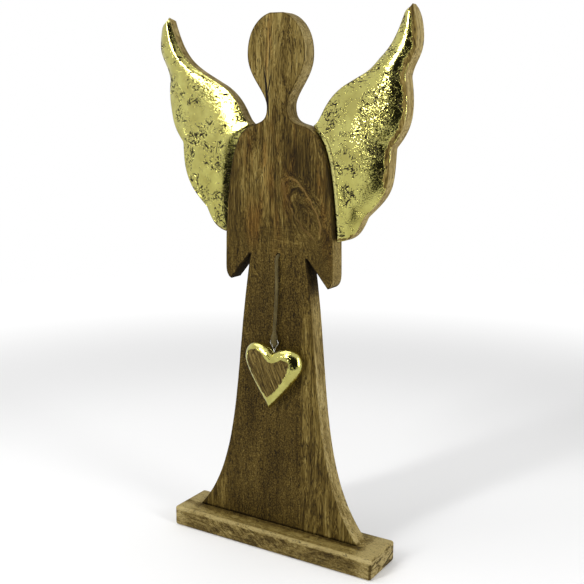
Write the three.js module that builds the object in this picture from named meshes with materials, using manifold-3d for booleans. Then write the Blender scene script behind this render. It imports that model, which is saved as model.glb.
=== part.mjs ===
// Wooden angel. A figure sawn from a flat mango wood board stands upright on a rectangular plinth.
// Two pillow-shaped wings with gilded faces are glued against its flanks, and a gilded heart hangs
// in front of the robe from a cord that passes through a hole in the board.
// Millimetres, +Z up, the front towards -Y, and the origin in the middle of the plinth's underside.

import * as THREE from 'three';
import * as BufferGeometryUtils from 'three/addons/utils/BufferGeometryUtils.js';
import { RoundedBoxGeometry } from 'three/addons/geometries/RoundedBoxGeometry.js';
import Module from 'manifold-3d';

const wasm = await Module();
wasm.setup();

// Plinth
const plinthLength = 222;
const plinthDepth = 49;
const plinthHeight = 20;
const plinthEdgeRound = 2.2;

// Figure board, with half widths measured from its middle line
const boardThickness = 17;
const boardSetback = 3;
const boardEdgeEase = 0.8;
const sawKerf = 1.2;
const figureHeight = 478.4;
const hemHalfLeft = 92.4;
const hemHalfRight = 88.2;
const slitHalf = 30.1;
const sleeveHalf = 58.2;
const cuffInset = 5.7;
const shoulderHalf = 35.5;
const neckHalf = 10.9;
const headHalf = 30.1;
const headLean = -2.4;

// Wings
const wingSpan = 91.1;
const wingRise = 102.4;
const wingCrown = 17;
const wingEdge = 12;
const wingTipThickness = 9.5;
const glueLine = 0.3;

// Heart, measured before it is tilted
const heartWidth = 60.4;
const heartHeight = 60;
const heartThickness = 15;
const heartRim = 6.5;
const heartTilt = THREE.MathUtils.degToRad(-6);

// Cord and the wire eye that joins it to the heart
const cordDiameter = 3;
const cordPlay = 2.2;
const cordHoleRise = 264.2;
const cordHoleSide = 0.6;
const cordDrop = 78;
const wireDiameter = 0.7;
const wireSeat = 5;
const eyeHeight = 12.5;
const eyeLean = 1.9;
const clearance = 0.3;

const cordHole = cordDiameter + cordPlay;
const holeHeight = plinthHeight + cordHoleRise;
const boardFront = boardSetback - boardThickness / 2;
const boardBack = boardSetback + boardThickness / 2;

const figureWood = new THREE.MeshStandardMaterial({ color: 0x6f5a35, roughness: 0.6, metalness: 0 });
const plinthWood = new THREE.MeshStandardMaterial({ color: 0x8f7a47, roughness: 0.55, metalness: 0 });
const goldLeaf = new THREE.MeshStandardMaterial({ color: 0xc9bd5a, roughness: 0.28, metalness: 1 });
const giltHeart = new THREE.MeshStandardMaterial({ color: 0xb5a24c, roughness: 0.35, metalness: 0.6 });
const steelWire = new THREE.MeshStandardMaterial({ color: 0xb8b8b4, roughness: 0.3, metalness: 1 });
const suedeCord = new THREE.MeshStandardMaterial({ color: 0x6b6547, roughness: 0.9, metalness: 0 });

// A Bezier sweep between two points. leave and arrive place its handles by their share of the
// chord's length along the chord and to the left of it.
function sweep(from, to, leave, arrive) {
  const along = new THREE.Vector2().subVectors(to, from);
  const across = new THREE.Vector2(-along.y, along.x);
  const handle = ([a, b]) => from.clone().addScaledVector(along, a).addScaledVector(across, b);
  return new THREE.CubicBezierCurve(from, handle(leave), handle(arrive), to);
}

// The points of a chain of curves, with each joint between two curves given once.
function chain(curves) {
  const points = curves.flatMap(([curve, steps]) => curve.getPoints(steps).slice(0, -1));
  const [last] = curves.at(-1);
  return [...points, last.getPoint(1)];
}

// Landmarks of one half of the figure, as [half width, share of the figure's height].
const landmarks = {
  slitTop: [slitHalf, 0.55],
  cuffPoint: [sleeveHalf - cuffInset, 0.497],
  cuffTop: [sleeveHalf, 0.527],
  wingFoot: [sleeveHalf - 0.5, 0.586],
  shoulder: [shoulderHalf, 0.788],
  neck: [neckHalf, 0.83],
  cheek: [headHalf, 0.926],
  crown: [headHalf * 0.2, 1],
};

function landmark(name) {
  const [halfWidth, rise] = landmarks[name];
  return new THREE.Vector2(halfWidth, plinthHeight + rise * figureHeight);
}

// The flank that the wing is glued against, from the foot of the wing up to the shoulder.
const flank = sweep(landmark('wingFoot'), landmark('shoulder'), [0.56, -0.09], [0.87, -0.12]);

// Half of the figure's outline from the hem to the crown. The head leans off the middle line.
function halfOutline(hemHalf, lean) {
  const hem = new THREE.Vector2(hemHalf, plinthHeight);
  const slitTop = landmark('slitTop');
  const slitOuter = slitTop.clone().add(new THREE.Vector2(sawKerf, 0));
  const neck = landmark('neck').add(new THREE.Vector2(lean / 2, 0));
  const cheek = landmark('cheek').add(new THREE.Vector2(lean, 0));
  const crown = landmark('crown').add(new THREE.Vector2(lean, 0));
  return chain([
    [sweep(hem, slitTop, [0.25, 0.14], [0.6, 0.02]), 22],
    [new THREE.LineCurve(slitTop, slitOuter), 1],
    [new THREE.LineCurve(slitOuter, landmark('cuffPoint')), 1],
    [sweep(landmark('cuffPoint'), landmark('cuffTop'), [0.25, -0.23], [0.57, -0.18]), 5],
    [new THREE.LineCurve(landmark('cuffTop'), landmark('wingFoot')), 1],
    [flank, 14],
    [sweep(landmark('shoulder'), neck, [0.39, 0], [0.65, 0.43]), 9],
    [sweep(neck, cheek, [0.26, 0.11], [0.61, -0.16]), 10],
    [sweep(cheek, crown, [0.36, -0.25], [0.75, -0.23]), 12],
  ]);
}

function mirrored(points) {
  return points.map((p) => new THREE.Vector2(-p.x, p.y)).reverse();
}

// A flat outline drawn in X and Z is sawn from a board whose front face lies at Y = front.
function sawn(shape, thickness, front, ease) {
  const geometry = new THREE.ExtrudeGeometry(shape, {
    depth: thickness - 2 * ease,
    bevelThickness: ease,
    bevelSize: ease,
    bevelOffset: -ease,
    bevelSegments: 2,
    curveSegments: 24,
  });
  geometry.rotateX(Math.PI / 2);
  geometry.translate(0, front + thickness - ease, 0);
  return geometry;
}

function angelBoard() {
  const right = halfOutline(hemHalfRight, headLean);
  const left = mirrored(halfOutline(hemHalfLeft, -headLean));
  const shape = new THREE.Shape([...right, ...left]);
  const hole = new THREE.Path();
  hole.absarc(cordHoleSide, holeHeight, cordHole / 2, 0, 2 * Math.PI, true);
  shape.holes.push(hole);
  return sawn(shape, boardThickness, boardFront, boardEdgeEase);
}

// The wing's two long edges from its foot to its tip, with as many points on each, so that the
// points pair up across the wing. The inner edge follows the flank at a glue line's distance, and
// the outer edge is cut into four lobes like a row of feathers.
function wingEdges() {
  const place = (reach, rise) => landmark('shoulder')
    .add(new THREE.Vector2(reach * wingSpan, rise * wingRise));
  const tip = place(1, 1);
  const nose = place(-0.017, 0.045);
  const bend = place(0.313, 0.375);
  const notches = [place(0.536, -0.722), place(0.814, -0.131), place(0.946, 0.441)];
  const glued = [];
  const gluedSteps = 19;
  for (let i = 0; i <= gluedSteps; i += 1) {
    const t = i / gluedSteps;
    const along = flank.getTangentAt(t);
    glued.push(flank.getPointAt(t).addScaledVector(new THREE.Vector2(along.y, -along.x), glueLine));
  }
  const foot = glued[0];
  const inner = [
    ...glued,
    ...chain([
      [sweep(nose, bend, [0.2, -0.08], [0.46, 0.16]), 9],
      [sweep(bend, tip, [0.44, -0.14], [0.55, -0.23]), 17],
    ]),
  ];
  const outer = chain([
    [sweep(foot, notches[0], [0.43, -0.31], [0.72, -0.12]), 8],
    [sweep(notches[0], notches[1], [0.46, -0.21], [0.49, -0.18]), 14],
    [sweep(notches[1], notches[2], [0.29, -0.16], [0.5, -0.19]), 12],
    [sweep(notches[2], tip, [0.32, -0.02], [0.31, -0.26]), 12],
  ]);
  return { inner, outer };
}

// A wing is flat behind and pillowed in front: full in the middle, rounded over towards its edges,
// and thinner at its foot and tip.
function wingGeometry(side) {
  const { inner, outer } = wingEdges();
  const stations = inner.length - 1;
  const across = 8;
  const positions = [];
  const faces = [];
  const thicknessAt = (u, q) => {
    const fullness = Math.sin(Math.PI * u) ** 0.4;
    const pillow = Math.sqrt(1 - Math.abs(q) ** 2.5);
    return wingTipThickness
      + fullness * (wingEdge - wingTipThickness + (wingCrown - wingEdge) * pillow);
  };
  const put = (point, y) => positions.push(side * point.x, y, point.y);
  for (let i = 0; i <= stations; i += 1) {
    for (let j = 0; j <= across; j += 1) {
      const q = -Math.cos(Math.PI * j / across);
      const point = inner[i].clone().lerp(outer[i], (1 + q) / 2);
      put(point, boardBack - thicknessAt(i / stations, q));
    }
    put(inner[i], boardBack);
    put(outer[i], boardBack);
  }
  const row = across + 3;
  const quad = (a, b, c, d) => faces.push(a, b, c, a, c, d);
  for (let i = 0; i < stations; i += 1) {
    const near = i * row;
    const far = near + row;
    const [innerBack, outerBack] = [across + 1, across + 2];
    for (let j = 0; j < across; j += 1) {
      quad(near + j, near + j + 1, far + j + 1, far + j);
    }
    quad(near + innerBack, near, far, far + innerBack);
    quad(near + across, near + outerBack, far + outerBack, far + across);
    quad(near + outerBack, near + innerBack, far + innerBack, far + outerBack);
  }
  const loose = new THREE.BufferGeometry();
  loose.setAttribute('position', new THREE.Float32BufferAttribute(positions, 3));
  loose.setIndex(side > 0 ? faces : faces.toReversed());
  return withoutSlivers(loose);
}

// Joins equal points and drops the triangles that have no area left, as at a wing's foot and tip.
function withoutSlivers(geometry) {
  const merged = BufferGeometryUtils.mergeVertices(geometry, 1e-3);
  const index = Array.from(merged.index.array);
  const kept = [];
  for (let i = 0; i < index.length; i += 3) {
    const [a, b, c] = index.slice(i, i + 3);
    if (a !== b && b !== c && c !== a) kept.push(a, b, c);
  }
  merged.setIndex(kept);
  return merged;
}

function toSolid(geometry) {
  const bare = geometry.clone();
  bare.deleteAttribute('normal');
  bare.deleteAttribute('uv');
  const merged = BufferGeometryUtils.mergeVertices(bare, 1e-4);
  return new wasm.Manifold(new wasm.Mesh({
    numProp: 3,
    vertProperties: new Float32Array(merged.attributes.position.array),
    triVerts: new Uint32Array(merged.index.array),
  }));
}

function toGeometry(solid) {
  const mesh = solid.getMesh();
  const geometry = new THREE.BufferGeometry();
  geometry.setAttribute('position', new THREE.BufferAttribute(mesh.vertProperties, 3));
  geometry.setIndex(new THREE.BufferAttribute(mesh.triVerts, 1));
  return geometry;
}

// The heart hangs from the hole on its cord and wire eye, with its back against the robe. It is
// drawn upright from its point, and then tilted.
const heartMiddle = boardFront - clearance - heartThickness / 2;
const eyeTop = new THREE.Vector3(-0.4, boardFront - 5, holeHeight - cordDrop);
const eyeFoot = new THREE.Vector3(eyeTop.x + eyeLean, heartMiddle, eyeTop.z - eyeHeight);
const cleft = new THREE.Vector2(0, heartHeight * 0.88);
const heartAxis = new THREE.Vector3(Math.sin(-heartTilt), 0, Math.cos(heartTilt));
const heartPoint = eyeFoot.clone().addScaledVector(heartAxis, -cleft.y);
const wireHoleRadius = wireDiameter + 1.5 * clearance;

function heartOutline() {
  const lobeTop = new THREE.Vector2(heartWidth * 0.28, heartHeight);
  const side = new THREE.Vector2(heartWidth / 2, heartHeight * 0.77);
  const point = new THREE.Vector2(0, 0);
  const half = chain([
    [sweep(point, side, [0.28, -0.03], [0.83, -0.11]), 8],
    [sweep(side, lobeTop, [0.3, -0.29], [0.71, -0.3]), 7],
    [sweep(lobeTop, cleft, [0.4, -0.17], [0.77, -0.12]), 6],
  ]);
  return [...half, ...mirrored(half).slice(1, -1)];
}

// Its rim is rounded all round: the outline shrinks towards the middle in a quarter circle on
// each side, down to the flat that is left in front and behind.
function heartGeometry() {
  const outline = heartOutline();
  const middle = new THREE.Vector2(0, heartHeight * 0.6);
  const rim = Math.min(heartRim, heartThickness / 2);
  const flatShare = 1 - 2 * rim / heartWidth;
  const roundSteps = 4;
  const rings = [];
  for (let i = -roundSteps; i <= roundSteps; i += 1) {
    const angle = Math.PI / 2 * i / roundSteps;
    const share = flatShare + (1 - flatShare) * Math.cos(angle);
    const y = rim * Math.sin(angle) + Math.sign(i) * (heartThickness / 2 - rim);
    rings.push(outline.map((p) => {
      const { x, y: z } = middle.clone().lerp(p, share);
      return new THREE.Vector3(x, y, z);
    }));
  }
  const wireHole = new THREE.CylinderGeometry(wireHoleRadius, wireHoleRadius, 2 * wireSeat, 12);
  wireHole.rotateX(Math.PI / 2);
  wireHole.translate(0, 0, cleft.y - clearance);
  const geometry = toGeometry(toSolid(stack(rings, outline)).subtract(toSolid(wireHole)));
  geometry.rotateY(-heartTilt);
  geometry.translate(...heartPoint);
  return geometry;
}

// A closed skin over a stack of rings with as many points each, all of the same flat outline.
function stack(rings, outline) {
  const count = outline.length;
  const caps = THREE.ShapeUtils.triangulateShape(outline, []);
  const faces = [];
  const lastRing = (rings.length - 1) * count;
  for (const [a, b, c] of caps) {
    faces.push(a, b, c, lastRing + a, lastRing + c, lastRing + b);
  }
  for (let ring = 0; ring < lastRing; ring += count) {
    for (let i = 0; i < count; i += 1) {
      const next = (i + 1) % count;
      faces.push(ring + i, ring + count + next, ring + next);
      faces.push(ring + i, ring + count + i, ring + count + next);
    }
  }
  const geometry = new THREE.BufferGeometry();
  geometry.setFromPoints(rings.flat());
  geometry.setIndex(faces);
  return geometry;
}

// A round bar of the given diameter along a smooth curve through the points.
function bar(points, diameter, sides, steps) {
  const section = new THREE.Shape().absarc(0, 0, diameter / 2, 0, 2 * Math.PI);
  return new THREE.ExtrudeGeometry(section, {
    steps,
    curveSegments: sides / 2,
    extrudePath: new THREE.CatmullRomCurve3(points),
  });
}

// The wire eye stands in a hole at the bottom of the heart's cleft. Its two legs rise side by side,
// spread, and close in a round bow.
const legHalf = (wireDiameter + clearance) / 2;

function eyePoints() {
  const leg = [-wireSeat, 0].map((rise) => [legHalf, eyeFoot.clone().addScaledVector(heartAxis, rise)]);
  const bow = [[0.6, 0.22], [2, 0.45], [4.1, 0.7], [3.9, 0.87], [2.2, 0.97]]
    .map(([half, share]) => [half, eyeFoot.clone().lerp(eyeTop, share)]);
  const side = (sign) => [...leg, ...bow].map(([half, middle]) => middle.clone()
    .add(new THREE.Vector3(sign * half, 0, 0)));
  return [...side(1), eyeTop.clone(), ...side(-1).reverse()];
}

// The cord starts at a knot behind the board, passes through the top of the hole, bends clear over
// the hole's lower lip, hangs down the front of the robe and is knotted round the wire eye.
const cordEntry = holeHeight + cordPlay / 2 - clearance;
const cordBend = 2 * cordDiameter;
const lipDrop = cordBend - (cordEntry - holeHeight) - cordHole / 2;
const lipDepth = Math.sqrt((cordBend - cordDiameter / 2 - clearance) ** 2 - lipDrop ** 2);
const cordFront = boardFront + lipDepth - cordBend;
const backKnotRadius = cordDiameter * 1.35;

function cordPoints() {
  const points = [
    new THREE.Vector3(cordHoleSide, boardBack + clearance + backKnotRadius, cordEntry),
    new THREE.Vector3(cordHoleSide, boardBack - 2, cordEntry),
    new THREE.Vector3(cordHoleSide, boardSetback - 2, cordEntry),
  ];
  const bendSteps = 5;
  for (let i = 0; i <= bendSteps; i += 1) {
    const angle = Math.PI / 2 * i / bendSteps;
    points.push(new THREE.Vector3(
      cordHoleSide,
      cordFront + cordBend * (1 - Math.sin(angle)),
      cordEntry - cordBend * (1 - Math.cos(angle)),
    ));
  }
  points.push(
    new THREE.Vector3(0.9, cordFront, holeHeight - cordDrop * 0.27),
    new THREE.Vector3(0.6, cordFront - 0.1, holeHeight - cordDrop * 0.5),
    new THREE.Vector3(-0.2, cordFront - 0.5, holeHeight - cordDrop * 0.72),
    new THREE.Vector3(-0.6, cordFront - 1.4, holeHeight - cordDrop * 0.88),
    eyeTop.clone(),
  );
  return points;
}

// The knot round the eye flares from the cord's width and closes again under the wire's bow. Its
// profile is given in cord diameters.
function frontKnot() {
  const profile = [
    [0, 0], [0.5, 0.13], [0.87, 0.8], [1.17, 1.67], [1.07, 2.5], [0.73, 3.5], [0.45, 4.67], [0, 4.67],
  ];
  const underBow = 2.7;
  const outline = profile.map(([radius, rise]) => new THREE.Vector2(radius, rise - underBow)
    .multiplyScalar(cordDiameter));
  const geometry = new THREE.LatheGeometry(outline, 12);
  geometry.rotateX(Math.PI / 2);
  geometry.translate(...eyeTop);
  return geometry;
}

function cordGeometry() {
  const cord = bar(cordPoints(), cordDiameter, 8, 40);
  const backKnot = new THREE.SphereGeometry(backKnotRadius, 12, 8);
  backKnot.translate(cordHoleSide, boardBack + clearance + backKnotRadius, cordEntry);
  const wireWay = bar(eyePoints(), wireDiameter + 2 * clearance, 6, 30);
  const knotted = toSolid(cord).add(toSolid(backKnot)).add(toSolid(frontKnot()));
  return toGeometry(knotted.subtract(toSolid(wireWay)));
}

const angel = new THREE.Group();

function add(name, geometry, material) {
  const mesh = new THREE.Mesh(geometry, material);
  mesh.name = name;
  angel.add(mesh);
  return mesh;
}

const plinthBox = [plinthLength, plinthDepth, plinthHeight];
const plinth = add('plinth', new RoundedBoxGeometry(...plinthBox, 2, plinthEdgeRound), plinthWood);
plinth.position.z = plinthHeight / 2;
add('angel_board', angelBoard(), figureWood);
add('wing_left', wingGeometry(-1), goldLeaf);
add('wing_right', wingGeometry(1), goldLeaf);
add('heart_pendant', heartGeometry(), giltHeart);
add('wire_eyelet', bar(eyePoints(), wireDiameter, 6, 30), steelWire);
add('pendant_cord', cordGeometry(), suedeCord);

export default angel;
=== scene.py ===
import math

import bmesh
import bpy
import numpy as np
from mathutils import Matrix, Vector, geometry, noise


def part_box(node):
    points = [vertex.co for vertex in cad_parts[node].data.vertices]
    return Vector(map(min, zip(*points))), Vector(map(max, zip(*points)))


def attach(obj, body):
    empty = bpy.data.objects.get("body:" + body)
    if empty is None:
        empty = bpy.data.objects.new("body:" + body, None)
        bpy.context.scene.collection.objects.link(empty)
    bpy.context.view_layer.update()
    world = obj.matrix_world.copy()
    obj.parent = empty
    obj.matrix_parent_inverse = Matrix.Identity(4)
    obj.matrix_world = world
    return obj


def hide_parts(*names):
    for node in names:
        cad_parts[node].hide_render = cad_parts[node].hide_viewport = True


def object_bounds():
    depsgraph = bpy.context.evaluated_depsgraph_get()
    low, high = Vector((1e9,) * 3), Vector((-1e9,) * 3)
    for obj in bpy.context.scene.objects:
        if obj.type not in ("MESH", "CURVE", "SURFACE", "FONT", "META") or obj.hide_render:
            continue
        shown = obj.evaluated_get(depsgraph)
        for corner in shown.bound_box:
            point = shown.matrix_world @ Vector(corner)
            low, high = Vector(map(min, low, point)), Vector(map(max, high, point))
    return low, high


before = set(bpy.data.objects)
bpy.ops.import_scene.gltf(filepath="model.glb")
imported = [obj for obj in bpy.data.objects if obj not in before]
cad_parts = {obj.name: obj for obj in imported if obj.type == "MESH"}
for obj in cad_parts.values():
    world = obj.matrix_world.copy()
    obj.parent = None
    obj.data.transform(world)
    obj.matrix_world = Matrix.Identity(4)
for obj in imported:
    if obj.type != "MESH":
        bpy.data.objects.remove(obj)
cad_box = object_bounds()

# Camera. It stands to the right of the statue, at the height of its neck, and looks down at the
# robe. Its picture is 584 pixels square. Lengths are millimetres, and mm turns them into metres.
mm = 0.001
picture_pixels = 584
focal_pixels = 930.4
camera_place = Vector((452.5, -714.0, 419.6)) * mm
camera_yaw = math.radians(31.654)
camera_pitch = math.radians(-11.403)
camera_roll = math.radians(0.228)

camera = bpy.data.objects.new("camera", bpy.data.cameras.new("camera"))
camera.data.sensor_width = 36
camera.data.lens = camera.data.sensor_width * focal_pixels / picture_pixels
camera.matrix_world = (
    Matrix.Translation(camera_place)
    @ Matrix.Rotation(camera_yaw, 4, "Z")
    @ Matrix.Rotation(math.pi / 2 + camera_pitch, 4, "X")
    @ Matrix.Rotation(camera_roll, 4, "Z")
)
bpy.context.collection.objects.link(camera)
bpy.context.scene.camera = camera
bpy.context.scene.view_settings.view_transform = "Standard"


# Studio. A pale floor that fades into the white background, with a tall softbox in front on the
# left, one overhead and one at the right. The room is grey, and dark to the right of the front,
# which is what the curved gold mirrors near its right-hand edges.
class Nodes:
    """A tree of shader nodes. Its methods add a node each and return what the node gives."""

    def __init__(self, owner):
        owner.use_nodes = True
        self.tree = owner.node_tree
        self.tree.nodes.clear()

    def plug(self, socket, value):
        if isinstance(value, bpy.types.NodeSocket):
            self.tree.links.new(value, socket)
        else:
            socket.default_value = value

    def node(self, kind, plugs=(), output=0, **settings):
        node = self.tree.nodes.new("ShaderNode" + kind)
        for name, value in settings.items():
            setattr(node, name, value)
        for socket, value in dict(plugs).items():
            self.plug(node.inputs[socket], value)
        return node.outputs[output] if node.outputs else None

    def math(self, operation, *values, clamp=False):
        return self.node("Math", enumerate(values), operation=operation, use_clamp=clamp)

    def vector(self, operation, *values, output=0, **named):
        plugs = {**dict(enumerate(values)), **named}
        return self.node("VectorMath", plugs, output, operation=operation)

    def add(self, *values):
        total = values[0]
        for value in values[1:]:
            total = self.math("ADD", total, value)
        return total

    def times(self, *values):
        product = values[0]
        for value in values[1:]:
            product = self.math("MULTIPLY", product, value)
        return product

    def point(self, x, y, z):
        return self.node("CombineXYZ", {0: x, 1: y, 2: z})

    def parts(self, vector):
        return [self.node("SeparateXYZ", {0: vector}, part) for part in range(3)]

    def rise(self, value, start, end, low=0.0, high=1.0):
        """Goes smoothly from low to high while value goes from start to end."""
        plugs = {0: value, 1: start, 2: end, 3: low, 4: high}
        return self.node("MapRange", plugs, interpolation_type="SMOOTHSTEP")


class Finish(Nodes):
    """The nodes of one surface. Its coordinates are millimetres in the statue's own frame."""

    def __init__(self, name):
        self.material = bpy.data.materials.new(name)
        super().__init__(self.material)
        self.place = self.vector("SCALE", self.node("TexCoord", output="Object"), Scale=1 / mm)
        self.x, self.y, self.z = self.parts(self.place)

    def cloud(self, place, size, detail=3, roughness=0.5, distortion=0.0):
        """Noise around 0.5 whose lumps measure about size, in millimetres along X, Y and Z."""
        spread = self.vector("MULTIPLY", place, tuple(1 / s for s in size))
        plugs = {"Vector": spread, "Scale": 1.0, "Detail": detail, "Roughness": roughness,
                 "Distortion": distortion}
        return self.node("TexNoise", plugs)

    def turned(self, place, degrees, centre=(0, 0, 0)):
        """A place turned about the Y axis through a centre."""
        plugs = {"Vector": place, "Center": centre, "Angle": math.radians(degrees)}
        return self.node("VectorRotate", plugs, rotation_type="Y_AXIS")

    def reach(self, place, radii, turn=0.0):
        """Distance from a place, one at the given radii. Both are given as (x, z), and hold
        through the thickness of a board. The radii are turned about Y in degrees."""
        middle, deep = 3, 60
        centre = (place[0], middle, place[1])
        away = self.vector("SUBTRACT", self.turned(self.place, turn, centre), centre)
        shares = self.vector("DIVIDE", away, (radii[0], deep, radii[1]))
        return self.vector("LENGTH", shares, output="Value")

    def spot(self, place, radii, turn=0.0):
        """One at a place, falling smoothly to zero at the radii."""
        return self.rise(self.reach(place, radii, turn), 1.0, 0.0)

    def between(self, share, below, above):
        """A value that goes from below to above as share goes from 0 to 1."""
        return self.node("Mix", {0: share, 2: below, 3: above}, data_type="FLOAT")

    def blend(self, share, below, above):
        """A colour that goes from below to above as share goes from 0 to 1."""
        plugs = {0: share, 6: below, 7: above}
        return self.node("Mix", plugs, output=2, data_type="RGBA")

    def tones(self, value, *stops):
        """Colours along a value, from stops given as (value, colour)."""
        node = self.tree.nodes.new("ShaderNodeValToRGB")
        self.plug(node.inputs[0], value)
        ramp = node.color_ramp
        while len(ramp.elements) < len(stops):
            ramp.elements.new(0.5)
        for element, (place, colour) in zip(ramp.elements, stops):
            element.position = place
            element.color = (*colour, 1)
        return node.outputs[0]

    def relief(self, height, depth, strength=1.0, under=None):
        plugs = {"Height": height, "Distance": depth * mm, "Strength": strength}
        if under is not None:
            plugs["Normal"] = under
        return self.node("Bump", plugs)

    def facets(self, place, size, tilt):
        """The surface's normal, tilted at random from one small flat cell to the next."""
        cell = self.node("TexVoronoi", {"Vector": place, "Scale": 1 / size}, "Color")
        lean = self.vector("SCALE", self.vector("SUBTRACT", cell, (0.5, 0.5, 0.5)), Scale=tilt)
        flat = self.node("NewGeometry", output="Normal")
        return self.vector("NORMALIZE", self.vector("ADD", flat, lean))

    def surface(self, **sockets):
        """Ends the finish in a shader whose sockets take values or links."""
        plugs = {name.replace("_", " "): value for name, value in sockets.items()}
        shader = self.node("BsdfPrincipled", plugs)
        self.node("OutputMaterial", {0: shader})
        return self.material


floor_radius = 6000.0
floor_gap = 0.2
fade_start = 350
fade_end = 1500
f = Finish("pale_floor")
far = f.rise(f.vector("LENGTH", f.place, output="Value"), fade_start, fade_end)
floor_finish = f.surface(
    Base_Color=f.blend(far, (0.9, 0.9, 0.9, 1), (0, 0, 0, 1)),
    Roughness=1.0,
    Specular_IOR_Level=0.0,
    Emission_Color=(1, 1, 1, 1),
    Emission_Strength=f.rise(far, 0, 1, 0.08, 1.0),
)
bpy.ops.mesh.primitive_circle_add(vertices=96, radius=floor_radius * mm, fill_type="NGON")
floor = bpy.context.object
floor.name = "floor"
floor.location.z = cad_box[0][2] - floor_gap * mm
floor.data.materials.append(floor_finish)
floor.visible_glossy = False


chest_height = 380.0


def softbox(name, azimuth, elevation, distance, width, height, brightness):
    """A rectangular light aimed at the statue's chest, its sizes in metres. Its azimuth is counted
    from the front, to the right, in degrees."""
    light = bpy.data.lights.new(name, "AREA")
    light.shape = "RECTANGLE"
    light.size = width
    light.size_y = height
    light.energy = brightness * math.pi * width * height
    lamp = bpy.data.objects.new(name, light)
    turn, lift = math.radians(azimuth), math.radians(elevation)
    way = Vector((math.sin(turn) * math.cos(lift), -math.cos(turn) * math.cos(lift), math.sin(lift)))
    lamp.location = Vector((0, 0, chest_height)) * mm + way * distance
    lamp.rotation_euler = (-way).to_track_quat("-Z", "Y").to_euler()
    lamp.visible_camera = False
    bpy.context.collection.objects.link(lamp)


softbox("front_softbox", azimuth=-18, elevation=25, distance=1.8, width=0.16, height=1.3, brightness=24)
softbox("overhead_softbox", azimuth=-60, elevation=58, distance=1.6, width=1.0, height=1.0, brightness=2)
softbox("side_softbox", azimuth=78, elevation=8, distance=1.6, width=0.4, height=1.2, brightness=8)

room_grey = 0.62
room_dark = 0.012
world = bpy.data.worlds.new("room")
bpy.context.scene.world = world
room = Nodes(world)
east, north, up = room.parts(room.node("TexCoord", output="Generated"))
azimuth = room.math("ARCTAN2", east, room.times(north, -1))
gloom = room.times(
    room.rise(azimuth, math.radians(-15.5), math.radians(-12.5)),
    room.rise(azimuth, math.radians(66), math.radians(50)),
    room.rise(up, 0.7, 0.5),
    room.rise(up, -0.45, -0.32),
)
brightness = room.rise(gloom, 0, 1, room_grey, room_dark)
lit = room.node("Background", {"Color": (1, 1, 1, 1), "Strength": brightness})
white = room.node("Background", {"Color": (1, 1, 1, 1), "Strength": 1.0})
seen = room.node("LightPath", output="Is Camera Ray")
room.node("OutputWorld", {0: room.node("MixShader", {0: seen, 1: lit, 2: white})})


# Plinth. A block of light brown hardwood, planed and waxed, with its edges eased by sandpaper. Its
# grain runs lengthwise and is curly on the front.
plinth_low, plinth_high = (np.array(corner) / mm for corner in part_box("plinth"))
plinth_half = plinth_high[0]
plinth_front = plinth_low[1]
plinth_top = plinth_high[2]
plinth_round = 2.6


def skin(name, points, faces, finish, **marks):
    """A mesh piece from points in millimetres. Each mark is a value per point that its finish can
    read. Points in one place are joined, and faces are turned to look outward."""
    mesh = bpy.data.meshes.new(name)
    mesh.from_pydata([tuple(p) for p in np.asarray(points) * mm], [], [tuple(f) for f in faces])
    for mark, values in marks.items():
        mesh.attributes.new(mark, "FLOAT", "POINT").data.foreach_set("value", np.ravel(values))
    shell = bmesh.new()
    shell.from_mesh(mesh)
    bmesh.ops.remove_doubles(shell, verts=shell.verts, dist=0.003 * mm)
    bmesh.ops.recalc_face_normals(shell, faces=shell.faces)
    shell.to_mesh(mesh)
    shell.free()
    mesh.polygons.foreach_set("use_smooth", [True] * len(mesh.polygons))
    mesh.set_sharp_from_angle(angle=math.radians(50))
    mesh.materials.append(finish)
    piece = bpy.data.objects.new(name, mesh)
    bpy.context.collection.objects.link(piece)
    return piece


def strips(rows, closed_rows=True):
    """Quads between neighbouring rows of points. rows holds point numbers, row by row."""
    faces = []
    for near, far in zip(rows, rows[1:]):
        width = len(near)
        for j in range(width if closed_rows else width - 1):
            k = (j + 1) % width
            faces.append((near[j], near[k], far[k], far[j]))
    return faces


def eased_block(low, high, ease, steps=5):
    """A box whose edges and corners are rounded. Returns points and faces."""
    low, high = np.array(low), np.array(high)
    middle, half = (low + high) / 2, (high - low) / 2
    spots, faces = {}, []

    def number(p):
        return spots.setdefault(tuple(np.round(p, 5)), len(spots))

    def ticks(extent):
        inner = np.linspace(-extent + ease, extent - ease, max(3, int(extent / 5)))
        curve = [extent - ease + ease * math.sin(math.pi / 2 * i / steps) for i in range(1, steps + 1)]
        return [*(-c for c in reversed(curve)), *inner, *curve]

    def settle(p):
        core = np.clip(p, -(half - ease), half - ease)
        out = p - core
        reach = np.linalg.norm(out)
        return core + (out / reach * ease if reach > 0 else 0)

    for axis in range(3):
        across, up = (axis + 1) % 3, (axis + 2) % 3
        us, vs = ticks(half[across]), ticks(half[up])
        for side in (-1, 1):
            grid = []
            for u in us:
                column = []
                for v in vs:
                    p = np.zeros(3)
                    p[axis], p[across], p[up] = side * half[axis], u, v
                    column.append(number(settle(p)))
                grid.append(column)
            for quad in strips(grid, closed_rows=False):
                faces.append(tuple(dict.fromkeys(quad)))
    return np.array(list(spots)) + middle, faces


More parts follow.
